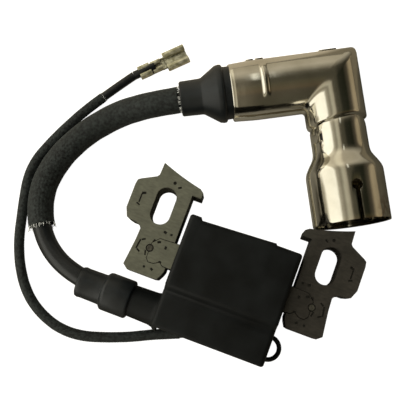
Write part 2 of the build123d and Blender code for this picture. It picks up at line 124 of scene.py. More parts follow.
# The card's colour is painted grey, darker away from the window, as painted shade on the table. It is lighter
# again past the cap, as painted light. The plated cap shows both in its reflection of the card.
card_painted_shade = tone_bands(
    card_white,
    card_place,
    across_plug_arm,
    0,
    0.1,
    [(0.042, (0.15, 0.14, 0.115)), (0.05, (0.06, 0.055, 0.042))],
)
card_painted_light_past_cap = tone_bands(
    card_white, card_place, across_lead_arm, 0, 0.1, [(0.06, (1, 1, 1)), (0.066, (2.0, 1.9, 1.8))]
)
card_painted_shade_and_light = add_node(
    card_white, "ShaderNodeMix", multiply_colours, {"Factor": 1.0, 6: card_painted_shade, 7: card_painted_light_past_cap}
)
sight = add_node(card_white, "ShaderNodeLightPath", {}, {})
set_inputs(
    card_white,
    card_shader,
    {
        "Base Color": card_painted_shade_and_light.outputs[2],
        "Roughness": 0.9,
        "Emission Color": (1, 1, 1, 1),
        "Emission Strength": sight.outputs["Is Camera Ray"],
    },
)
card.data.materials.append(card_white)

# The room is painted by direction: one way across the plug's arm, the other across the lead's arm.
room = bpy.data.worlds.new("dim_room")
bpy.context.scene.world = room
room.use_nodes = True
room_way = add_node(room, "ShaderNodeTexCoord", {}, {}).outputs["Generated"]
plug_walls = tone_bands(
    room,
    room_way,
    across_plug_arm,
    -1,
    1,
    [
        (-1.0, (0.32, 0.29, 0.22)),
        (-0.985, (0.5, 0.46, 0.36)),
        (-0.96, (1.45, 1.4, 1.22)),
        (-0.64, (1.4, 1.36, 1.2)),
        (-0.56, (0.5, 0.46, 0.36)),
        (-0.4, (0.26, 0.235, 0.175)),
        (-0.27, (0.52, 0.49, 0.38)),
        (-0.14, (0.46, 0.42, 0.32)),
        (-0.04, (0.1, 0.088, 0.062)),
        (0.1, (0.072, 0.066, 0.045)),
        (0.22, (0.07, 0.064, 0.044)),
        (0.36, (0.024, 0.024, 0.016)),
        (0.7, (0.014, 0.015, 0.009)),
        (0.86, (0.075, 0.063, 0.044)),
        (0.94, (0.38, 0.31, 0.2)),
        (1.0, (0.3, 0.25, 0.165)),
    ],
)
lead_walls = tone_bands(
    room,
    room_way,
    across_lead_arm,
    -1,
    1,
    [
        (-1.0, (0.0, 0.0, 0.0)),
        (-0.6, (0.004, 0.0, 0.0)),
        (-0.42, (0.035, 0.018, 0.006)),
        (-0.1, (0.02, 0.016, 0.006)),
        (0.1, (0.0, 0.0, 0.0)),
        (0.3, (0.0, 0.0, 0.0)),
        (0.5, (0.03, 0.025, 0.018)),
        (0.66, (0.2, 0.18, 0.14)),
        (0.84, (0.42, 0.38, 0.3)),
        (1.0, (0.36, 0.32, 0.24)),
    ],
)
# A bright pane, seen only in the lead's end of the cap.
pane_side = tone_bands(
    room,
    room_way,
    across_plug_arm,
    -1,
    1,
    [(0.0, (0, 0, 0)), (0.02, (1, 1, 0.9)), (0.062, (1, 1, 0.9)), (0.085, (0, 0, 0))],
)
pane_height = tone_bands(
    room,
    room_way,
    across_lead_arm,
    -1,
    1,
    [(0.3, (0, 0, 0)), (0.38, (0.5, 0.5, 0.5)), (0.5, (1, 1, 1)), (0.7, (0.8, 0.8, 0.8)), (0.8, (0, 0, 0))],
)
pane = add_node(room, "ShaderNodeMix", multiply_colours, {"Factor": 1.0, 6: pane_side, 7: pane_height})
both_walls = add_node(room, "ShaderNodeMix", add_colours, {"Factor": 1.0, 6: plug_walls, 7: lead_walls})
walls = add_node(
    room, "ShaderNodeMix", add_colours, {"Factor": 1.0, 6: both_walls.outputs[2], 7: pane.outputs[2]}
)
set_inputs(room, room.node_tree.nodes["Background"], {"Color": walls.outputs[2]})


def hang_light(name, place, aim, width, height, power, tint):
    """A soft light for the dull pieces. The plated cap mirrors the room instead."""
    bpy.ops.object.light_add(type="AREA", location=place)
    lamp = bpy.context.object
    lamp.name = name
    lamp.data.shape = "RECTANGLE"
    lamp.data.size = width
    lamp.data.size_y = height
    lamp.data.energy = power
    lamp.data.color = tint
    lamp.visible_glossy = False
    lamp.rotation_euler = (Vector(aim) - Vector(place)).to_track_quat("-Z", "Y").to_euler()


hang_light("ceiling", (-0.2, 0.1, 0.7), (0, 0, 0), 0.6, 0.6, 6, (1, 0.99, 0.96))
hang_light("window", (-0.6, -0.3, 0.4), (0, 0, 0), 0.4, 0.4, 4, (1, 0.97, 0.9))

bpy.ops.object.camera_add(location=(2.44 * mm, -27.86 * mm, 280 * mm))
camera = bpy.context.object
right = Vector((0.9374, 0.3469, -0.0304))
up = Vector((-0.3392, 0.9294, 0.1455))
camera.rotation_euler = Matrix((right, up, right.cross(up))).transposed().to_euler()
camera.data.lens = 70.34
camera.data.clip_start = 0.01
bpy.context.scene.camera = camera
bpy.context.scene.view_settings.view_transform = "Standard"


# ---- laminated core ------------------------------------------------------------------------------
# Two pole legs and a keyed core bar, each a stack of punched silicon steel sheets with a dull oxide
# coat. Small punched dents lock each sheet to the next.
def colour(hex_text):
    """An sRGB hex colour as the linear colour that a shader takes."""
    parts = [int(hex_text[place : place + 2], 16) / 255 for place in (1, 3, 5)]
    return [c / 12.92 if c <= 0.04045 else ((c + 0.055) / 1.055) ** 2.4 for c in parts] + [1]


# Rolled silicon steel under its insulating oxide is dull and mottled. Its colour is painted darker towards
# the right leg, as painted shade from the way the light falls.
oxide_steel, steel_shader = new_material("oxide_coated_silicon_steel")
steel_place = add_node(oxide_steel, "ShaderNodeTexCoord", {}, {}).outputs["Object"]
steel_mottle = add_node(
    oxide_steel, "ShaderNodeTexNoise", {}, {"Vector": steel_place, "Scale": 240, "Detail": 6}
)
steel_rolled = add_node(
    oxide_steel, "ShaderNodeMapping", {}, {"Vector": steel_place, "Scale": (500, 1500, 900)}
)
steel_streak = add_node(
    oxide_steel, "ShaderNodeTexNoise", {}, {"Vector": steel_rolled.outputs[0], "Scale": 1, "Detail": 4}
)
steel_mix = add_node(
    oxide_steel,
    "ShaderNodeMath",
    {"operation": "MULTIPLY"},
    {0: steel_mottle.outputs[0], 1: steel_streak.outputs[0]},
)
# A lit tone for the left and a painted shade tone for the right, blended across by x.
lit_side_bands = {"bands": [(0.12, colour("#4a4a3e")), (0.38, colour("#5a5a4c"))]}
shaded_side_bands = {"bands": [(0.12, colour("#26241f")), (0.38, colour("#33302a"))]}
steel_lit_side = add_node(oxide_steel, "ShaderNodeValToRGB", lit_side_bands, {"Fac": steel_mix.outputs[0]})
steel_shaded_side = add_node(oxide_steel, "ShaderNodeValToRGB", shaded_side_bands, {"Fac": steel_mix.outputs[0]})
steel_sides = add_node(oxide_steel, "ShaderNodeSeparateXYZ", {}, {"Vector": steel_place})
painted_shade_across_steel = add_node(
    oxide_steel,
    "ShaderNodeMapRange",
    {},
    {"Value": steel_sides.outputs["X"], "From Min": -15 * mm, "From Max": 24 * mm},
)
steel_colour = add_node(
    oxide_steel,
    "ShaderNodeMix",
    {"data_type": "RGBA"},
    {"Factor": painted_shade_across_steel.outputs[0], 6: steel_lit_side.outputs[0], 7: steel_shaded_side.outputs[0]},
)
steel_dull = add_node(
    oxide_steel, "ShaderNodeMapRange", {}, {"Value": steel_mottle.outputs[0], "To Min": 0.42, "To Max": 0.62}
)
steel_grain = add_node(
    oxide_steel,
    "ShaderNodeBump",
    {},
    {"Height": steel_mix.outputs[0], "Strength": 0.12, "Distance": 0.05 * mm},
)
set_inputs(
    oxide_steel,
    steel_shader,
    {
        "Base Color": steel_colour.outputs[2],
        "Roughness": steel_dull.outputs[0],
        "Normal": steel_grain.outputs[0],
        "Metallic": 0.45,
    },
)


def select_only(*pieces):
    """Selects these pieces and nothing else. The first is the active one."""
    bpy.ops.object.select_all(action="DESELECT")
    for piece in pieces:
        piece.select_set(True)
    bpy.context.view_layer.objects.active = pieces[0]


def apply_modifiers(piece):
    select_only(piece)
    for modifier in list(piece.modifiers):
        bpy.ops.object.modifier_apply(modifier=modifier.name)


def pick(piece, kind, test):
    """Selects the vertices, edges or faces of a piece in edit mode that pass a test."""
    mesh = bmesh.from_edit_mesh(piece.data)
    for element in (*mesh.verts, *mesh.edges, *mesh.faces):
        element.select = False
    for element in [element for element in getattr(mesh, kind) if test(element)]:
        element.select_set(True)
    mesh.select_flush_mode()
    bmesh.update_edit_mesh(piece.data)


def cut_away(piece, cutters):
    """Cuts the cutters out of a piece and removes them."""
    select_only(*cutters)
    if len(cutters) > 1:
        bpy.ops.object.join()
    cutter = bpy.context.object
    bpy.ops.object.transform_apply(location=True, rotation=True, scale=True)
    trim = piece.modifiers.new("trim", "BOOLEAN")
    trim.operation = "DIFFERENCE"
    trim.solver = "EXACT"
    trim.use_self = True
    trim.object = cutter
    trim.material_mode = "TRANSFER"
    apply_modifiers(piece)
    bpy.data.objects.remove(cutter)


def fit(piece, body, slot, *nodes):
    """Puts a finished piece on its body, in place of the CAD nodes that it stands for."""
    select_only(piece)
    bpy.ops.object.transform_apply(location=True, rotation=True, scale=True)
    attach(piece, body)
    if nodes:
        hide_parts(*nodes)


sheet_pitch = 0.5 * mm
sheet_thickness = 0.46 * mm
sheet_count = 24
sheet_slip = 0.04
dent_depth = 0.34 * mm
# Punch marks and the bevelled sheet edges take a near black colour: oil, with painted shade in the hollows
# and grooves.
dent_oil_and_shade, dent_shader = new_material("punch_mark_oil_and_painted_shade")
dent_place = add_node(dent_oil_and_shade, "ShaderNodeTexCoord", {}, {}).outputs["Object"]
dent_noise = add_node(dent_oil_and_shade, "ShaderNodeTexNoise", {}, {"Vector": dent_place, "Scale": 1500})
dent_bands = {"bands": [(0.0, colour("#0a0a08")), (1.0, colour("#23221c"))]}
dent_shade = add_node(dent_oil_and_shade, "ShaderNodeValToRGB", dent_bands, {"Fac": dent_noise.outputs[0]})
set_inputs(dent_oil_and_shade, dent_shader, {"Base Color": dent_shade.outputs[0], "Metallic": 0.5, "Roughness": 0.5})


def block(centre, size, turn=0):
    """A plain block, turned about Z by an angle in degrees."""
    bpy.ops.mesh.primitive_cube_add(size=1, location=centre, rotation=(0, 0, math.radians(turn)))
    bpy.context.object.scale = size
    return bpy.context.object


def punch(x, y, length, width, turn, top):
    """A cutter for one oblong dent in the top sheet. A dent as long as it is wide is round."""
    centre = (x * mm, y * mm, top)
    if length == width:
        bpy.ops.mesh.primitive_cylinder_add(
            vertices=20, radius=length / 2 * mm, depth=2 * dent_depth, location=centre
        )
    else:
        block(centre, (length * mm, width * mm, 2 * dent_depth), turn)
        bpy.ops.object.transform_apply(location=False, rotation=False, scale=True)
    cutter = bpy.context.object
    cutter.data.materials.append(dent_oil_and_shade)
    return cutter


def ring_punch(x, y, outer, inner, top):
    """A cutter for a ring-shaped dent."""
    centre = (x * mm, y * mm, top)
    bpy.ops.mesh.primitive_cylinder_add(
        vertices=32, radius=outer * mm, depth=2 * dent_depth, location=centre
    )
    ring = bpy.context.object
    ring.data.materials.append(dent_oil_and_shade)
    bpy.ops.mesh.primitive_cylinder_add(
        vertices=32, radius=inner * mm, depth=4 * dent_depth, location=centre
    )
    cut_away(ring, [bpy.context.object])
    return ring


def lamination_stack(node_name, dents, rings, edge_width):
    """A stack of sheets with the outline of the CAD node, each sheet its own thin plate."""
    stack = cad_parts[node_name].copy()
    stack.data = stack.data.copy()
    stack.parent = None
    bpy.context.scene.collection.objects.link(stack)
    stack.name = node_name + "_sheets"
    for key in list(stack.keys()):
        del stack[key]
    select_only(stack)
    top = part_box(node_name)[1].z
    bpy.ops.object.mode_set(mode="EDIT")
    bpy.ops.mesh.select_mode(type="FACE")
    bpy.ops.mesh.select_all(action="SELECT")
    bpy.ops.mesh.remove_doubles(threshold=0.001 * mm)
    pick(stack, "faces", lambda face: face.normal.z < 0.9 or face.calc_center_median().z < top - 0.01 * mm)
    bpy.ops.mesh.delete(type="FACE")
    bpy.ops.mesh.select_all(action="SELECT")
    bpy.ops.mesh.extrude_region_move(TRANSFORM_OT_translate={"value": (0, 0, -sheet_thickness)})
    bpy.ops.mesh.select_all(action="SELECT")
    bpy.ops.mesh.normals_make_consistent(inside=False)
    bpy.ops.object.mode_set(mode="OBJECT")
    stack.data.materials.clear()
    stack.data.materials.append(oxide_steel)
    stack.data.materials.append(dent_oil_and_shade)
    edge = stack.modifiers.new("sheared_edge", "BEVEL")
    edge.width = edge_width * mm
    edge.segments = 1
    # The bevel faces take the dark punch-mark colour: oil with painted shade.
    edge.material = 1
    edge.limit_method = "ANGLE"
    edge.use_clamp_overlap = False
    pile = stack.modifiers.new("pile", "ARRAY")
    pile.use_relative_offset = False
    pile.use_constant_offset = True
    pile.constant_offset_displace = (0, 0, -sheet_pitch)
    pile.count = sheet_count
    apply_modifiers(stack)
    chance = random.Random(node_name)
    slips = []
    for _ in range(sheet_count + 1):
        slip_x = chance.uniform(-sheet_slip, sheet_slip)
        slip_y = chance.uniform(-sheet_slip, sheet_slip)
        slips.append(Vector((slip_x, slip_y, 0)) * mm)
    for vertex in stack.data.vertices:
        vertex.co += slips[int((top - vertex.co.z) / sheet_pitch + 0.01)]
    cutters = [punch(*dent, top) for dent in dents] + [ring_punch(*ring, top) for ring in rings]
    cut_away(stack, cutters)
    bpy.ops.object.shade_flat()
    fit(stack, "coil", "lamination_steel", node_name)


leg_dents = [
    (38.7, -2.2, 1.5, 0.55, 20),
    (38.0, 2.0, 1.5, 0.9, -20),
    (32.4, -13.1, 1.4, 0.6, -30),
    (32.9, -17.3, 1.4, 0.6, 30),
    (28.4, -12.6, 1.5, 1.2, 20),
    (30.3, -17.3, 1.8, 0.5, 75),
    (38.6, 0, 0.5, 3.4, 0),
    (33.6, -15.2, 0.6, 3.4, 8),
    (29.1, 8.9, 1.2, 1.2, 0),
    (26.9, 7.9, 1.3, 0.7, -30),
    (26.2, -8.4, 1.2, 0.9, 20),
    (23.9, -8.5, 0.9, 0.9, 0),
    (29.0, -21.9, 0.9, 0.9, 0),
    (26.2, -21.9, 1.0, 0.8, 30),
]
right_pin_ring = (29.4, -15.25, 1.4, 1.02)
left_pin_ring = (-29.4, -15.25, 1.4, 1.02)
leg_edge = 0.05
core_edge = 0.2
left_dents = [(-x, y, length, width, -turn) for x, y, length, width, turn in leg_dents]
core_end_dents = ((27.0, -12.3, 1.3, 0.8, 25), (24.2, -13.4, 0.8, 1.1, 0), (24.4, -18.8, 1.2, 1.2, 0))
core_dents = [(side * dent[0], *dent[1:]) for side in (-1, 1) for dent in core_end_dents]
lamination_stack("left_pole_laminations", left_dents, [left_pin_ring], leg_edge)
lamination_stack("right_pole_laminations", leg_dents, [right_pin_ring], leg_edge)
lamination_stack("centre_core_laminations", core_dents, [left_pin_ring, right_pin_ring], core_edge)

# ---- coil housing --------------------------------------------------------------------------------
# The case is moulded in black glass-filled nylon with a fine spark-eroded grain. It is open below,
# where the epoxy is poured, and its lower terrace holds the trigger circuit.
moulded_nylon, nylon_shader = new_material("grained_black_nylon")
nylon_place = add_node(moulded_nylon, "ShaderNodeTexCoord", {}, {}).outputs["Object"]
nylon_grain = add_node(
    moulded_nylon, "ShaderNodeTexNoise", {}, {"Vector": nylon_place, "Scale": 2600, "Detail": 3}
)
nylon_cloud = add_node(
    moulded_nylon, "ShaderNodeTexNoise", {}, {"Vector": nylon_place, "Scale": 120, "Detail": 5}
)
nylon_bands = {"bands": [(0.35, colour("#050606")), (0.7, colour("#0b0d0d"))]}
nylon_shade = add_node(moulded_nylon, "ShaderNodeValToRGB", nylon_bands, {"Fac": nylon_cloud.outputs[0]})
nylon_bump = add_node(
    moulded_nylon,
    "ShaderNodeBump",
    {},
    {"Height": nylon_grain.outputs[0], "Strength": 0.3, "Distance": 0.04 * mm},
)
nylon_rough = add_node(
    moulded_nylon, "ShaderNodeMapRange", {}, {"Value": nylon_cloud.outputs[0], "To Min": 0.42, "To Max": 0.6}
)
set_inputs(
    moulded_nylon,
    nylon_shader,
    {
        "Base Color": nylon_shade.outputs[0],
        "Normal": nylon_bump.outputs[0],
        "Roughness": nylon_rough.outputs[0],
        "IOR": 1.53,
        "Specular IOR Level": 0.22,
    },
)

case_low = Vector((-19.6, -39.7, -9.0)) * mm
case_high = Vector((20.4, -0.4, 19.5)) * mm
crease_high_y = -25.2 * mm
crease_low_y = -27.0 * mm
terrace_y = -28.6 * mm
terrace_z = 17.2 * mm
crease_z = 16.9 * mm
bpy.ops.object.select_all(action="DESELECT")
case = block((case_low + case_high) / 2, case_high - case_low)
case.name = "housing_case"
bpy.ops.object.transform_apply(location=True, rotation=True, scale=True)
bpy.ops.object.mode_set(mode="EDIT")
for cut_y in (terrace_y, crease_low_y, crease_high_y):
    bpy.ops.mesh.select_all(action="SELECT")
    bpy.ops.mesh.bisect(plane_co=(0, cut_y, 0), plane_no=(0, 1, 0))
case_mesh = bmesh.from_edit_mesh(case.data)
for vertex in case_mesh.verts:
    if vertex.co.z > 0 and vertex.co.y < crease_low_y - 0.1 * mm:
        vertex.co.z = terrace_z
    elif vertex.co.z > 0 and vertex.co.y < crease_low_y + 0.1 * mm:
        vertex.co.z = crease_z
# Each edge's share of the largest rounding: the corners and ends are round, the open rim nearly sharp.
rounding = case_mesh.edges.layers.float.new("bevel_weight_edge")
for edge in case_mesh.edges:
    low = min(vertex.co.z for vertex in edge.verts)
    along_x = abs(edge.verts[0].co.x - edge.verts[1].co.x) > 1 * mm
    at_side = all(min(abs(v.co.x - case_low.x), abs(v.co.x - case_high.x)) < 0.1 * mm for v in edge.verts)
    middle_y = (edge.verts[0].co.y + edge.verts[1].co.y) / 2
    at_end = min(abs(middle_y - case_low.y), abs(middle_y - case_high.y)) < 0.1 * mm
    if low > 5 * mm and at_side and not along_x:
        edge[rounding] = 0.8
    elif low > 5 * mm and along_x and at_end:
        edge[rounding] = 0.7
    elif low > 5 * mm and along_x:
        edge[rounding] = 0.4
    elif at_end and not along_x:
        edge[rounding] = 0.5
    elif low < -8 * mm:
        edge[rounding] = 0.12
bmesh.update_edit_mesh(case.data)
bpy.ops.object.mode_set(mode="OBJECT")
case_round = case.modifiers.new("rounding", "BEVEL")
case_round.limit_method = "WEIGHT"
case_round.width = 3.0 * mm
case_round.segments = 8
apply_modifiers(case)
case.data.materials.append(moulded_nylon)

# The front wall is moulded in steps: a block over the left flange and a slight swell on the right.
front_steps = ((-15.8, 0.6), (-15.2, -0.4), (7.6, 0.75), (10.8, 0.95), (11.2, 0.4))
bpy.ops.object.mode_set(mode="EDIT")
bpy.ops.mesh.select_mode(type="FACE")
for cut_x, _ in front_steps:
    pick(case, "faces", lambda face: face.calc_center_median().y > -20 * mm)
    bpy.ops.mesh.bisect(plane_co=(cut_x * mm, 0, 0), plane_no=(1, 0, 0))
bpy.ops.object.mode_set(mode="OBJECT")
for vertex in case.data.vertices:
    if vertex.co.y > -4.5 * mm:
        swell = front_steps[0][1]
        for step_x, step_y in front_steps:
            if vertex.co.x > (step_x - 0.05) * mm:
                swell = step_y
        vertex.co.y += swell * mm

case_wall = 1.6 * mm
pour_depth = 3.0 * mm
case_size = case_high - case_low
case_middle = (case_low + case_high) / 2
pour_room = block(
    (case_middle.x, case_middle.y, case_low.z),
    (case_size.x - 2 * case_wall, case_size.y - 2 * case_wall, 2 * pour_depth),
)
core_low, core_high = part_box("centre_core_laminations")
core_size = core_high - core_low
window_gap = 0.15 * mm
core_window = block(
    (core_low + core_high) / 2, (core_size.x, core_size.y + 2 * window_gap, core_size.z + 2 * window_gap)
)
cut_away(case, [pour_room])
cut_away(case, [core_window])
bpy.ops.object.shade_smooth_by_angle(angle=math.radians(35))


def turned(name, stations, segments, along=(1, 0, 0)):
    """A hollow or solid round piece about an axis: a ring, extruded and resized at each station."""
    way = Vector(along).normalized()
    bpy.ops.object.select_all(action="DESELECT")
    first_at, first_radius = stations[0]
    turn = way.to_track_quat("Z", "Y").to_euler()
    bpy.ops.mesh.primitive_circle_add(
        vertices=segments, radius=first_radius * mm, location=way * first_at * mm, rotation=turn
    )
    piece = bpy.context.object
    piece.name = name
    bpy.ops.object.transform_apply(location=True, rotation=True, scale=True)
    bpy.ops.object.mode_set(mode="EDIT")
    bpy.ops.mesh.select_mode(type="VERT")
    bpy.ops.mesh.select_all(action="SELECT")
    spread = Vector([1 - abs(part) for part in way])
    for (at, radius), (next_at, next_radius) in zip(stations, stations[1:]):
        bpy.ops.mesh.extrude_region_move(TRANSFORM_OT_translate={"value": way * (next_at - at) * mm})
        scale = next_radius / radius
        factors = [1 + side * (scale - 1) for side in spread]
        bpy.ops.transform.resize(value=factors, center_override=way * next_at * mm)
    bpy.ops.mesh.select_all(action="SELECT")
    bpy.ops.mesh.remove_doubles(threshold=0.004 * mm)
    bpy.ops.mesh.fill_holes(sides=segments)
    bpy.ops.mesh.normals_make_consistent(inside=False)
    bpy.ops.object.mode_set(mode="OBJECT")
    bpy.ops.object.shade_smooth_by_angle(angle=math.radians(40))
    return piece


tower_y = -34.5 * mm
tower = turned(
    "tower",
    [(-18.6, 7.2), (-19.6, 7.0), (-20.4, 6.3), (-22, 5.95), (-30.4, 5.7), (-37.2, 5.55), (-37.6, 5.2)],
    64,
)
tower.location = (0, tower_y, 0)
bpy.ops.mesh.primitive_torus_add(
    major_radius=4.05 * mm,
    minor_radius=0.85 * mm,
    major_segments=48,
    minor_segments=12,
    location=(21.0 * mm, -33.4 * mm, -4 * mm),
)
hook = bpy.context.object
hook.scale = (1, 1, 2.3)
bpy.ops.object.transform_apply(location=True, rotation=True, scale=True)
bpy.ops.object.mode_set(mode="EDIT")
bpy.ops.mesh.select_all(action="SELECT")
bpy.ops.mesh.bisect(plane_co=(20.0 * mm, 0, 0), plane_no=(1, 0, 0), clear_inner=True, use_fill=True)
bpy.ops.object.mode_set(mode="OBJECT")
bpy.ops.object.shade_smooth_by_angle(angle=math.radians(40))


def join(first, *others):
    select_only(first, *others)
    bpy.ops.object.join()
    return first


for part in (tower, hook):
    part.data.materials.append(moulded_nylon)
join(case, tower, hook)
fit(case, "coil", "housing_plastic", "coil_housing")

# ---- poured epoxy and what it holds --------------------------------------------------------------
# The windings, the trigger board and its parts stand in a black epoxy that has set with a glossy,
# slightly wavy face. They keep their own shapes, with enamelled copper, glass epoxy and brass.
def plain_finish(name, light, dark, scale, rough, metallic, bump):
    """A finish with a slight variation of tone and a fine grain."""
    material, shader = new_material(name)
    place = add_node(material, "ShaderNodeTexCoord", {}, {}).outputs["Object"]
    grain = add_node(material, "ShaderNodeTexNoise", {}, {"Vector": place, "Scale": scale, "Detail": 4})
    bands = {"bands": [(0.35, colour(dark)), (0.65, colour(light))]}
    shade = add_node(material, "ShaderNodeValToRGB", bands, {"Fac": grain.outputs[0]})
    relief = add_node(
        material,
        "ShaderNodeBump",
        {},
        {"Height": grain.outputs[0], "Strength": bump, "Distance": 0.05 * mm},
    )
    set_inputs(
        material,
        shader,
        {
            "Base Color": shade.outputs[0],
            "Normal": relief.outputs[0],
            "Metallic": metallic,
            "Roughness": rough,
        },
    )
    return material


inner_finishes = {
    "cast_black_epoxy": (("#0c0d0d", "#080909", 150, 0.15, 0, 0.4), ["potting_resin"]),
    "natural_nylon": (("#c9c4ad", "#b3ad94", 900, 0.5, 0, 0.1), ["primary_bobbin", "secondary_bobbin"]),
    "enamelled_copper": (
        ("#b5652c", "#8c431c", 2500, 0.3, 0.9, 0.6),
        ["primary_winding", "secondary_winding", "ht_lead_conductor", "kill_lead_conductor"],
    ),
    "machined_brass": (
        ("#c9b06a", "#a98f4c", 1800, 0.3, 1, 0.1),
        ["ht_contact_pin", "earth_strip", "cable_screw", "elbow_contact", "plug_terminal_clip"],
    ),
    "ground_steel": (("#4a483e", "#35332b", 1500, 0.5, 0.6, 0.2), ["core_lock_pins"]),
    "glass_epoxy_board": (("#2c5a3a", "#21452c", 1300, 0.45, 0, 0.2), ["trigger_circuit_board"]),
    "moulded_epoxy_package": (
        ("#1b1b1c", "#131314", 2200, 0.55, 0, 0.2),
        ["control_chip", "power_transistor"],
    ),
    "dipped_lacquer": (("#9c3a1c", "#7c2a13", 800, 0.25, 0, 0.1), ["trigger_capacitor"]),
    "lacquered_ceramic": (
        ("#c2a878", "#a88e60", 900, 0.35, 0, 0.1),
        ["trigger_resistors", "suppressor_resistor"],
    ),
    "drawn_spring_wire": (("#b8b6b0", "#8f8d88", 2600, 0.3, 1, 0.1), ["resistor_spring"]),
}
for finish_name, (values, node_names) in inner_finishes.items():
    finish = plain_finish(finish_name, *values)
    for node_name in node_names:
        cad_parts[node_name].data.materials.clear()
        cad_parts[node_name].data.materials.append(finish)

# ---- tower boot ----------------------------------------------------------------------------------
# A rubber sleeve grips the tower with its thick collar and seals on the plug lead with a thin tail.
# Moulded EPDM rubber: near black, satin, greyed by handling.
boot_rubber = plain_finish("moulded_epdm_rubber", "#101314", "#0a0d0e", 420, 0.4, 0, 0.25)
tower_boot_piece = turned(
    "tower_boot_sleeve",
    [
        (-50.4, 3.6),
        (-50.4, 4.7),
        (-50.1, 5.3),
        (-49.2, 5.6),
        (-48.0, 5.45),
        (-41.6, 5.55),
        (-41.0, 5.7),
        (-40.7, 6.2),
        (-40.2, 6.75),
        (-39.4, 6.95),
        (-31.2, 6.95),
        (-30.7, 6.8),
        (-30.4, 6.4),
        (-30.4, 5.75),
    ],
    72,
)
tower_boot_piece.location = (0, tower_y, 0)
tower_boot_piece.data.materials.append(boot_rubber)
fit(tower_boot_piece, "coil", "boot_rubber", "tower_boot")

# ---- plug lead -----------------------------------------------------------------------------------
# A 7 mm high tension lead leaves the tower boot to the left, turns up along the table and rises
# into the cap. Its jacket is smooth, extruded and slightly glossy.
cap_turn = math.radians(27.5)
cap_place = Matrix.Translation(Vector((9.6, 64.7, 5.0)) * mm) @ Matrix.Rotation(cap_turn, 4, "Z")


def cap_point(x, y=0, z=0):
    """A point of the cap's own frame: X along the lead's arm, -Y towards the plug."""
    return cap_place @ (Vector((x, y, z)) * mm)


def route_curve(name, points, diameter):
    """A smooth open curve with these control points. With no diameter it is a bare line."""
    line = bpy.data.curves.new(name, "CURVE")
    line.dimensions = "3D"
    line.resolution_u = 24
    spline = line.splines.new("NURBS")
    spline.points.add(len(points) - 1)
    for control, point in zip(spline.points, points):
        control.co = (*point, 1)
    spline.order_u = 3
    spline.use_endpoint_u = True
    line.bevel_depth = diameter / 2
    line.bevel_resolution = 10
    line.use_fill_caps = diameter > 0
    piece = bpy.data.objects.new(name, line)
    bpy.context.scene.collection.objects.link(piece)
    return piece


lead_route = [
    Vector((-31.0, -34.5, 0.0)) * mm,
    Vector((-50.5, -34.5, 0.0)) * mm,
    Vector((-68.5, -26.5, -3.4)) * mm,
    Vector((-77.5, -9.0, -4.1)) * mm,
    Vector((-74.0, 10.0, -4.1)) * mm,
    Vector((-60.8, 27.6, -1.6)) * mm,
    cap_point(-59.8),
    cap_point(-44.2),
]
lead_diameter = 7.0 * mm
jacket_rubber = plain_finish("extruded_lead_jacket", "#0e1011", "#090b0c", 300, 0.28, 0, 0.12)
plug_lead = route_curve("plug_lead", lead_route, lead_diameter)
plug_lead.data.materials.append(jacket_rubber)


def line_points(points, spacing):
    """Evenly spaced points of the smooth curve through a route, with the direction at each."""
    line = route_curve("line", points, 0)
    line.data.resolution_u = 64
    bpy.context.view_layer.update()
    mesh = bpy.data.meshes.new_from_object(line)
    read = [vertex.co.copy() for vertex in mesh.vertices]
    bpy.data.objects.remove(line)
    spaced = [read[0]]
    for point in read[1:]:
        while (point - spaced[-1]).length >= spacing:
            spaced.append(spaced[-1] + (point - spaced[-1]).normalized() * spacing)
    ways = [(b - a).normalized() for a, b in zip(spaced, spaced[1:])]
    return spaced, ways + [ways[-1]]


def woven_tube(name, points, ways, radius, strands, relief, material, wobble):
    """A braided sleeve: strands cross over and under each other round a line of points."""
    around = strands * 4
    cell = 2 * math.pi * radius / strands
    side = ways[0].orthogonal().normalized()
    soft = random.Random(name)
    phases = [soft.uniform(0, 6.28) for _ in range(6)]
    rows = []
    travelled = 0.0
    for index, (point, way) in enumerate(zip(points, ways)):
        side = (side - way * side.dot(way)).normalized()
        across = way.cross(side)
        if index:
            travelled += (point - points[index - 1]).length
        row = []
        for step in range(around):
            turn = 2 * math.pi * step / around
            one = strands * turn / (2 * math.pi) + travelled / cell
            other = strands * turn / (2 * math.pi) - travelled / cell
            over = (math.floor(one) + math.floor(other)) % 2 == 0
            crown = math.sin(math.pi * (other % 1)) if over else math.sin(math.pi * (one % 1))
            swell = wobble * (
                math.sin(travelled * 210 + phases[0] + 2 * turn)
                + 0.6 * math.sin(travelled * 470 + phases[1] - 3 * turn)
                + 0.5 * math.sin(travelled * 900 + phases[2] + 5 * turn)
            )
            reach = radius - relief * (1 - abs(crown)) + swell - wobble
            row.append(point + (side * math.cos(turn) + across * math.sin(turn)) * reach)
        rows.append(row)
    vertices = [corner for row in rows for corner in row]
    faces = []
    for index in range(len(rows) - 1):
        for step in range(around):
            beside = (step + 1) % around
            here = index * around
            ahead = here + around
            faces.append((here + step, here + beside, ahead + beside, ahead + step))
    mesh = bpy.data.meshes.new(name)
    mesh.from_pydata(vertices, [], faces)
    piece = bpy.data.objects.new(name, mesh)
    bpy.context.scene.collection.objects.link(piece)
    wall = piece.modifiers.new("wall", "SOLIDIFY")
    wall.thickness = 0.35 * mm
    wall.offset = -1
    apply_modifiers(piece)
    bpy.ops.object.shade_smooth()
    mesh.materials.append(material)
    return piece


# ---- braided sleeve on the plug lead -------------------------------------------------------------
# A woven polyester sleeve guards the lead where it passes the engine. Its cut ends fray.
polyester = plain_finish("woven_black_polyester", "#1b1f1d", "#050606", 1000, 0.72, 0, 0.6)
set_inputs(
    polyester,
    polyester.node_tree.nodes["Principled BSDF"],
    {"Sheen Weight": 0.18, "Sheen Roughness": 0.4, "Sheen Tint": colour("#9aa09c")},
)
fibre = plain_finish("frayed_polyester_ends", "#c9c9c2", "#8d8e88", 900, 0.6, 0, 0.1)


def between(points, ways, first, last):
    """The stretch of a line nearest to two places."""
    start = min(range(len(points)), key=lambda index: (points[index] - first).length)
    end = min(range(len(points)), key=lambda index: (points[index] - last).length)
    return points[start : end + 1], ways[start : end + 1]


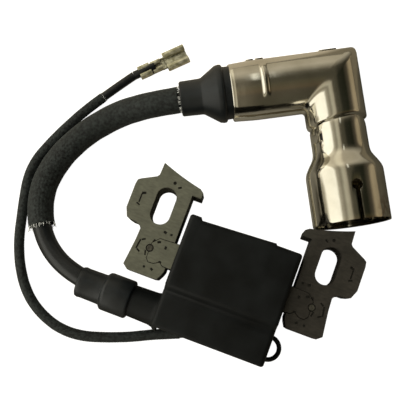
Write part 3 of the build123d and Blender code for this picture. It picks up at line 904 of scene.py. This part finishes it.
def frayed_end(name, centre, way, radius, count, reach, seed):
    """Loose fibre ends that stick out round the cut end of a sleeve."""
    chance = random.Random(seed)
    side = way.orthogonal().normalized()
    across = way.cross(side).normalized()
    hairs = bpy.data.curves.new(name, "CURVE")
    hairs.dimensions = "3D"
    hairs.bevel_depth = 0.07 * mm
    hairs.bevel_resolution = 0
    hairs.resolution_u = 3
    for _ in range(count):
        turn = chance.uniform(0, 2 * math.pi)
        out = side * math.cos(turn) + across * math.sin(turn)
        length = chance.uniform(0.35, 1) * reach
        root = centre + out * (radius - 0.15 * mm)
        tip = root + way * length
        tip += out * chance.uniform(-0.1, 0.45) * length
        tip += side * chance.uniform(-0.3, 0.3) * length
        strand = hairs.splines.new("NURBS")
        strand.points.add(2)
        for control, point in zip(strand.points, (root, root + way * length * 0.5 + out * 0.1 * mm, tip)):
            control.co = (*point, 1)
        strand.order_u = 3
        strand.use_endpoint_u = True
    piece = bpy.data.objects.new(name, hairs)
    bpy.context.scene.collection.objects.link(piece)
    select_only(piece)
    bpy.ops.object.convert(target="MESH")
    piece.data.materials.append(fibre)
    return piece


braid_radius = 4.9 * mm
lead_points, lead_ways = line_points(lead_route, 0.32 * mm)
braid_points, braid_ways = between(
    lead_points, lead_ways, Vector((-71.6, -20.6, -4.1)) * mm, cap_point(-55.1)
)
braid = woven_tube(
    "braided_sleeve", braid_points, braid_ways, braid_radius, 24, 0.16 * mm, polyester, 0.05 * mm
)
braid_frays = [
    frayed_end("sleeve_fray_low", braid_points[0], -braid_ways[0], braid_radius, 70, 1.6 * mm, 3),
    frayed_end("sleeve_fray_high", braid_points[-1], braid_ways[-1], braid_radius, 80, 1.4 * mm, 5),
]
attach(plug_lead, "coil")
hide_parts("ht_lead_jacket")
fit(braid, "coil", "braid", "ht_lead_braided_sleeve")
for fray in braid_frays:
    fit(fray, "coil", "braid")

# ---- kill lead -----------------------------------------------------------------------------------
# A thin insulated wire comes out low on the housing and runs round outside the plug lead. A woven
# sleeve covers most of it, and its bare end is crimped in a spade terminal.
kill_route = [
    Vector((-2.0, -36.4, -4.6)) * mm,
    Vector((-14.5, -41.0, -7.05)) * mm,
    Vector((-31.5, -49.4, -7.05)) * mm,
    Vector((-49.5, -54.6, -7.05)) * mm,
    Vector((-66.5, -48.2, -7.05)) * mm,
    Vector((-77.0, -33.5, -7.05)) * mm,
    Vector((-81.8, -16.0, -7.05)) * mm,
    Vector((-85.0, -1.5, -7.05)) * mm,
    Vector((-79.8, 13.0, -7.05)) * mm,
    Vector((-71.2, 30.0, -7.05)) * mm,
    Vector((-60.6, 45.0, -6.9)) * mm,
]
kill_diameter = 3.3 * mm
kill_lead = route_curve("kill_lead", kill_route, kill_diameter)
kill_lead.data.materials.append(jacket_rubber)
kill_points, kill_ways = line_points(kill_route, 0.27 * mm)
sleeve_points, sleeve_ways = between(
    kill_points, kill_ways, Vector((-10.6, -39.5, -6.3)) * mm, Vector((-68.9, 33.2, -7.05)) * mm
)
kill_sleeve = woven_tube(
    "woven_kill_sleeve", sleeve_points, sleeve_ways, 1.95 * mm, 12, 0.12 * mm, polyester, 0.02 * mm
)
kill_fray = frayed_end("kill_sleeve_fray", sleeve_points[-1], sleeve_ways[-1], 1.9 * mm, 14, 0.8 * mm, 8)
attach(kill_lead, "coil")
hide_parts("kill_lead_insulation")
fit(kill_sleeve, "coil", "braid", "kill_lead_woven_sleeve")
fit(kill_fray, "coil", "braid")

# ---- spade terminal ------------------------------------------------------------------------------
# A tinned brass terminal is crimped on the wire: two wings grip the insulation, two the strands, and
# its flat box slides on the blade of the engine switch.
tinned_brass = plain_finish("tinned_brass", "#c9c5aa", "#8f8b6e", 700, 0.36, 0.75, 0.4)
spade_turn = math.radians(45)
spade_place = Matrix.Translation(Vector((-60.6, 45.0, -8.95)) * mm) @ Matrix.Rotation(spade_turn, 4, "Z")
spade_sheet = 0.4 * mm


def crimp_wings(name, start, end, floor_half, height, curl, segments):
    """A strip bent up at both sides, with its tips rolled in and down on what it grips."""
    bpy.ops.object.select_all(action="DESELECT")
    bpy.ops.mesh.primitive_plane_add(size=1, location=((start + end) / 2 * mm, 0, spade_sheet / 2))
    wings = bpy.context.object
    wings.name = name
    wings.scale = ((end - start) * mm, 2 * floor_half * mm, 1)
    bpy.ops.object.transform_apply(location=True, rotation=True, scale=True)
    bpy.ops.object.mode_set(mode="EDIT")
    bpy.ops.mesh.select_mode(type="EDGE")
    for side in (-1, 1):
        pick(wings, "edges", lambda edge: all(v.co.y * side > (floor_half - 0.01) * mm for v in edge.verts))
        bpy.ops.mesh.extrude_region_move(TRANSFORM_OT_translate={"value": (0, side * 0.25 * mm, 0.3 * mm)})
        bpy.ops.mesh.extrude_region_move(TRANSFORM_OT_translate={"value": (0, side * 0.05 * mm, height * mm)})
        for step in range(segments):
            turn = math.pi * (step + 0.5) / segments
            move = (0, -side * curl * math.sin(turn) * mm, curl * math.cos(turn) * mm)
            bpy.ops.mesh.extrude_region_move(TRANSFORM_OT_translate={"value": move})
    bpy.ops.mesh.select_all(action="SELECT")
    bpy.ops.mesh.normals_make_consistent(inside=False)
    bpy.ops.object.mode_set(mode="OBJECT")
    metal = wings.modifiers.new("metal", "SOLIDIFY")
    metal.thickness = spade_sheet
    metal.offset = 0
    edges = wings.modifiers.new("edges", "BEVEL")
    edges.width = 0.08 * mm
    edges.segments = 2
    edges.limit_method = "ANGLE"
    apply_modifiers(wings)
    bpy.ops.object.shade_smooth_by_angle(angle=math.radians(45))
    return wings


insulation_wings = crimp_wings("kill_lead_terminal", 2.2, 6.9, 1.9, 2.2, 0.62, 4)
neck_strip = crimp_wings("neck_strip", 6.7, 7.6, 1.8, 0.3, 0.12, 2)
strand_wings = crimp_wings("strand_wings", 7.4, 11.4, 1.8, 1.5, 0.55, 4)
box_neck = crimp_wings("box_neck", 11.2, 13.2, 1.9, 0.4, 0.15, 2)
blade_box = crimp_wings("blade_box", 13.0, 21.8, 3.3, 1.0, 0.85, 4)
terminal = join(insulation_wings, neck_strip, strand_wings, box_neck, blade_box)
terminal.data.materials.clear()
terminal.data.materials.append(tinned_brass)
terminal.data.transform(spade_place)
fit(terminal, "coil", "brass", "kill_lead_spade_terminal")
lead_end_length = 8.8 * mm
bpy.ops.mesh.primitive_cylinder_add(
    vertices=32,
    radius=kill_diameter / 2,
    depth=lead_end_length,
    location=(lead_end_length / 2, 0, 2.05 * mm),
    rotation=(0, math.pi / 2, 0),
)
lead_end = bpy.context.object
lead_end.name = "kill_lead_end"
bpy.ops.object.transform_apply(location=True, rotation=True, scale=True)
lead_end_round = lead_end.modifiers.new("cut_end", "BEVEL")
lead_end_round.width = 0.2 * mm
lead_end_round.segments = 2
apply_modifiers(lead_end)
bpy.ops.object.shade_smooth_by_angle(angle=math.radians(40))
lead_end.data.materials.append(jacket_rubber)
lead_end.data.transform(spade_place)
fit(lead_end, "coil", "lead_jacket")

# ---- rubber elbow inside the cap -----------------------------------------------------------------
# The elbow grips the lead with its tail, flares to a rounded collar that closes the metal cap, and
# lines both of the cap's arms down to the plug.
elbow_outer = turned(
    "elbow_collar",
    [
        (-54.7, 3.6),
        (-54.7, 5.9),
        (-54.3, 6.35),
        (-47.2, 6.55),
        (-46.6, 6.7),
        (-41.2, 10.35),
        (-40.6, 10.45),
        (-39.8, 10.6),
        (-39.1, 10.5),
        (-38.7, 10.1),
        (-38.5, 9.6),
        (-36.2, 9.5),
        (-36.0, 10.0),
        (-31.0, 10.0),
        (-30.0, 9.1),
        (-30.0, 3.6),
    ],
    80,
)
elbow_arm = turned(
    "elbow_lining", [(-35.0, 6.2), (-35.0, 8.9), (-34.7, 9.15), (-8.0, 9.15), (-8.0, 6.2)], 64, (0, 1, 0)
)
elbow_outer.data.materials.append(boot_rubber)
elbow_arm.data.materials.append(boot_rubber)
elbow_boot = join(elbow_outer, elbow_arm)
elbow_boot.data.transform(cap_place)
fit(elbow_boot, "plug_cap", "boot_rubber", "cap_elbow_boot")

# ---- stamped metal cap ---------------------------------------------------------------------------
# Two bright nickel-plated steel half shells meet along the elbow's sides. The rear half laps over
# the front one on the inner side of the bend and holds it with bent tabs, and the mouth is slit.
plating, plate_shader = new_material("bright_nickel_plate")
plate_place = add_node(plating, "ShaderNodeTexCoord", {}, {}).outputs["Object"]
plate_cloud = add_node(plating, "ShaderNodeTexNoise", {}, {"Vector": plate_place, "Scale": 70, "Detail": 5})
plate_pits = add_node(
    plating, "ShaderNodeTexNoise", {}, {"Vector": plate_place, "Scale": 1400, "Detail": 2}
)
plate_bands = {"bands": [(0.3, colour("#cfcabb")), (0.65, colour("#e8e4d8"))]}
plate_shade = add_node(plating, "ShaderNodeValToRGB", plate_bands, {"Fac": plate_cloud.outputs[0]})
plate_rough = add_node(
    plating, "ShaderNodeMapRange", {}, {"Value": plate_cloud.outputs[0], "To Min": 0.07, "To Max": 0.17}
)
plate_wave = add_node(
    plating,
    "ShaderNodeBump",
    {},
    {"Height": plate_cloud.outputs[0], "Strength": 0.35, "Distance": 0.25 * mm},
)
plate_bump = add_node(
    plating,
    "ShaderNodeBump",
    {},
    {
        "Height": plate_pits.outputs[0],
        "Strength": 0.08,
        "Distance": 0.02 * mm,
        "Normal": plate_wave.outputs[0],
    },
)
# Heat and salt have browned the plate by the rim, on the side away from the bend.
stain_centre = cap_point(10.4, -50.6, 6)
stain_way = add_node(
    plating, "ShaderNodeVectorMath", {"operation": "DISTANCE"}, {0: plate_place, 1: stain_centre}
)
stain_near = add_node(
    plating,
    "ShaderNodeMapRange",
    {},
    {
        "Value": stain_way.outputs["Value"],
        "From Min": 1.2 * mm,
        "From Max": 7 * mm,
        "To Min": 1,
        "To Max": 0,
    },
)
stain_grain = add_node(plating, "ShaderNodeTexNoise", {}, {"Vector": plate_place, "Scale": 520, "Detail": 5})
stain_patch = add_node(
    plating,
    "ShaderNodeMapRange",
    {},
    {"Value": stain_grain.outputs[0], "From Min": 0.42, "From Max": 0.58, "To Min": 0, "To Max": 0.85},
)
stain = add_node(
    plating,
    "ShaderNodeMath",
    {"operation": "MULTIPLY"},
    {0: stain_near.outputs[0], 1: stain_patch.outputs[0]},
)
plate_colour = add_node(
    plating,
    "ShaderNodeMix",
    {"data_type": "RGBA"},
    {"Factor": stain.outputs[0], 6: plate_shade.outputs[0], 7: colour("#8a5227")},
)
set_inputs(
    plating,
    plate_shader,
    {
        "Base Color": plate_colour.outputs[2],
        "Roughness": plate_rough.outputs[0],
        "Normal": plate_bump.outputs[0],
        "Metallic": 1.0,
    },
)

outer_tabs = ((-29.5, -26.9), (-26.0, -23.3), (-2.8, 3.4))
inner_tab_y = (-23.4, -20.4)
shell_sheet = 0.5 * mm
front_low_z = -1.5
seam_z = -0.5
outer_tab_z = 2.2
lap_z = 2.6
inner_tab_z = 5.4
mitre_start = -14
mitre_round = 1.6 * mm


def mitred_arm(name, profile, along):
    """One arm of the cap as an open skin, drawn out to the mitre where it meets the other."""
    arm = turned(name, profile, 96, along)
    bpy.ops.object.mode_set(mode="EDIT")
    bpy.ops.mesh.select_mode(type="VERT")
    pick(arm, "faces", lambda face: len(face.verts) > 4)
    bpy.ops.mesh.delete(type="ONLY_FACE")
    way = Vector(along)
    pick(arm, "verts", lambda vertex: vertex.co.dot(way) > (mitre_start - 0.1) * mm)
    bpy.ops.mesh.extrude_region_move(TRANSFORM_OT_translate={"value": way * -mitre_start * mm})
    for vertex in bmesh.from_edit_mesh(arm.data).verts:
        if vertex.select and along[0]:
            vertex.co.x = vertex.co.y
        elif vertex.select:
            vertex.co.y = vertex.co.x
    bmesh.update_edit_mesh(arm.data)
    bpy.ops.object.mode_set(mode="OBJECT")
    return arm


def cap_skin(name):
    """The outside of the whole cap as one open skin: two arms that meet at a mitre."""
    lead_arm = mitred_arm(
        name,
        [
            (-36.2, 10.0),
            (-35.9, 10.2),
            (-34.6, 10.26),
            (-32, 10.4),
            (-29.5, 10.54),
            (-27.5, 10.6),
            (-20, 10.6),
            (-14, 10.6),
        ],
        (1, 0, 0),
    )
    plug_arm = mitred_arm(
        name + "_plug_arm",
        [
            (-52.8, 13.35),
            (-52.4, 13.5),
            (-51, 13.5),
            (-46, 13.5),
            (-40, 13.5),
            (-35.4, 13.5),
            (-34.4, 13.38),
            (-33.4, 13.05),
            (-32.4, 12.5),
            (-31.2, 11.8),
            (-30.0, 11.0),
            (-28.8, 10.35),
            (-27.6, 9.95),
            (-26.4, 9.77),
            (-25, 9.75),
            (-21, 9.75),
            (-19.0, 9.75),
            (-17.6, 9.7),
            (-16.6, 9.55),
            (-16.0, 9.4),
            (-15.7, 9.55),
            (-15.4, 10.0),
            (-15.1, 10.4),
            (-14.6, 10.6),
            (-14.0, 10.6),
        ],
        (0, 1, 0),
    )
    skin = join(lead_arm, plug_arm)
    bpy.ops.object.mode_set(mode="EDIT")
    bpy.ops.mesh.select_all(action="SELECT")
    bpy.ops.mesh.remove_doubles(threshold=0.02 * mm)
    bpy.ops.mesh.normals_make_consistent(inside=False)
    bpy.ops.mesh.select_mode(type="EDGE")
    pick(
        skin,
        "edges",
        lambda edge: len(edge.link_faces) == 2 and all(abs(v.co.x - v.co.y) < 0.01 * mm for v in edge.verts),
    )
    bpy.ops.mesh.bevel(offset=mitre_round, segments=5, affect="EDGES", clamp_overlap=True)
    bpy.ops.object.mode_set(mode="OBJECT")
    tilt_crease(skin)
    return skin


def tilt_crease(skin):
    """The crease under the bend runs lower on the inner side."""
    for vertex in skin.data.vertices:
        x = vertex.co.x / mm
        y = vertex.co.y / mm
        if -19.5 < y < -13.9 and x < 4:
            vertex.co.y -= 0.13 * (4 - x) * min(1, (y + 19.5) / 2.0, (-y - 13.9) / 0.8) * mm


rib_middle = -24.2
rib_half = 1.35
rib_height = 0.6


def press_rib(skin):
    """Presses a rounded rib across the lead's arm."""
    select_only(skin)
    bpy.ops.object.mode_set(mode="EDIT")
    bpy.ops.mesh.select_mode(type="FACE")
    for step in range(-6, 7):
        pick(skin, "faces", lambda face: -28 * mm < face.calc_center_median().x < -20 * mm)
        cut_x = (rib_middle + rib_half * step / 5) * mm
        bpy.ops.mesh.bisect(plane_co=(cut_x, 0, 0), plane_no=(1, 0, 0))
    bpy.ops.object.mode_set(mode="OBJECT")
    for vertex in skin.data.vertices:
        x, y, z = (part / mm for part in vertex.co)
        off = (x - rib_middle) / rib_half
        if z > 0 and abs(off) < 1 and -5.6 < y < 6.8:
            fade = min(1, (y + 5.6) / 1.4, (6.8 - y) / 1.4)
            lift = rib_height * math.cos(off * math.pi / 2) * fade
            vertex.co += Vector((0, y, z)).normalized() * lift * mm


def half_shell(skin, name, keep, outward, node):
    """Keeps one half of the skin, cuts its ends and holes, and gives it the thickness of sheet."""
    select_only(skin)
    skin.name = name
    bpy.ops.object.mode_set(mode="EDIT")
    bpy.ops.mesh.select_mode(type="FACE")
    for level in (front_low_z, seam_z, outer_tab_z, lap_z, inner_tab_z):
        bpy.ops.mesh.select_all(action="SELECT")
        bpy.ops.mesh.bisect(plane_co=(0, 0, level * mm), plane_no=(0, 0, 1))
    if outward:
        for cut_x in (edge for tab in outer_tabs for edge in tab):
            pick(skin, "faces", lambda face: face.calc_center_median().y > 2 * mm)
            bpy.ops.mesh.bisect(plane_co=(cut_x * mm, 0, 0), plane_no=(1, 0, 0))
        for cut_y in inner_tab_y:
            pick(skin, "faces", lambda face: face.calc_center_median().y < -17 * mm)
            bpy.ops.mesh.bisect(plane_co=(0, cut_y * mm, 0), plane_no=(0, 1, 0))
    pick(skin, "faces", lambda face: not keep(face.calc_center_median() / mm))
    bpy.ops.mesh.delete(type="FACE")
    bpy.ops.object.mode_set(mode="OBJECT")
    sheet = skin.modifiers.new("sheet", "SOLIDIFY")
    sheet.thickness = shell_sheet
    sheet.offset = 1 if outward else -1
    sheet.use_even_offset = True
    apply_modifiers(skin)
    rim_corner = block(Vector((-16, -53.4, 0)) * mm, Vector((8, 4.4, 40)) * mm, -42)
    cutters = [rim_corner]
    if not outward:
        bpy.ops.mesh.primitive_cylinder_add(
            vertices=40, radius=1.9 * mm, depth=14 * mm, location=Vector((1.2, -41, 12)) * mm
        )
        cutters.append(bpy.context.object)
        cutters.append(block(Vector((1.2, -48, 12)) * mm, Vector((1.5, 13.6, 14)) * mm))
        for start, end in outer_tabs:
            slot_middle = Vector(((start + end) / 2, 10, 3.3)) * mm
            cutters.append(block(slot_middle, Vector((end - start - 0.3, 5, 1.3)) * mm))
        inner_slot_middle = Vector((-8, sum(inner_tab_y) / 2, 6.2)) * mm
        cutters.append(block(inner_slot_middle, Vector((4, 2.4, 1.2)) * mm))
    cut_away(skin, cutters)
    skin.data.materials.clear()
    skin.data.materials.append(plating)
    rim = skin.modifiers.new("deburred_rim", "BEVEL")
    rim.width = 0.12 * mm
    rim.segments = 2
    rim.limit_method = "ANGLE"
    rim.angle_limit = math.radians(50)
    apply_modifiers(skin)
    bpy.ops.object.shade_smooth_by_angle(angle=math.radians(38))
    skin.data.transform(cap_place)
    fit(skin, "plug_cap", "nickel_shell", node)


def is_rear(centre):
    """The rear half, its lap on the inner side, and its tabs."""
    inner_lap = centre.x < 0 and centre.y < 0 and centre.z < lap_z
    over_tab = any(start < centre.x < end for start, end in outer_tabs)
    outer_tab = centre.y > 0 and centre.z < outer_tab_z and over_tab
    inner_tab = centre.x < 0 and inner_tab_y[0] < centre.y < inner_tab_y[1] and centre.z < inner_tab_z
    return centre.z < seam_z or inner_lap or outer_tab or inner_tab


front_skin = cap_skin("cap_front")
press_rib(front_skin)
half_shell(front_skin, "cap_front_half", lambda centre: centre.z > front_low_z, False, "cap_front_shell")
half_shell(cap_skin("cap_rear"), "cap_rear_half", is_rear, True, "cap_rear_shell")
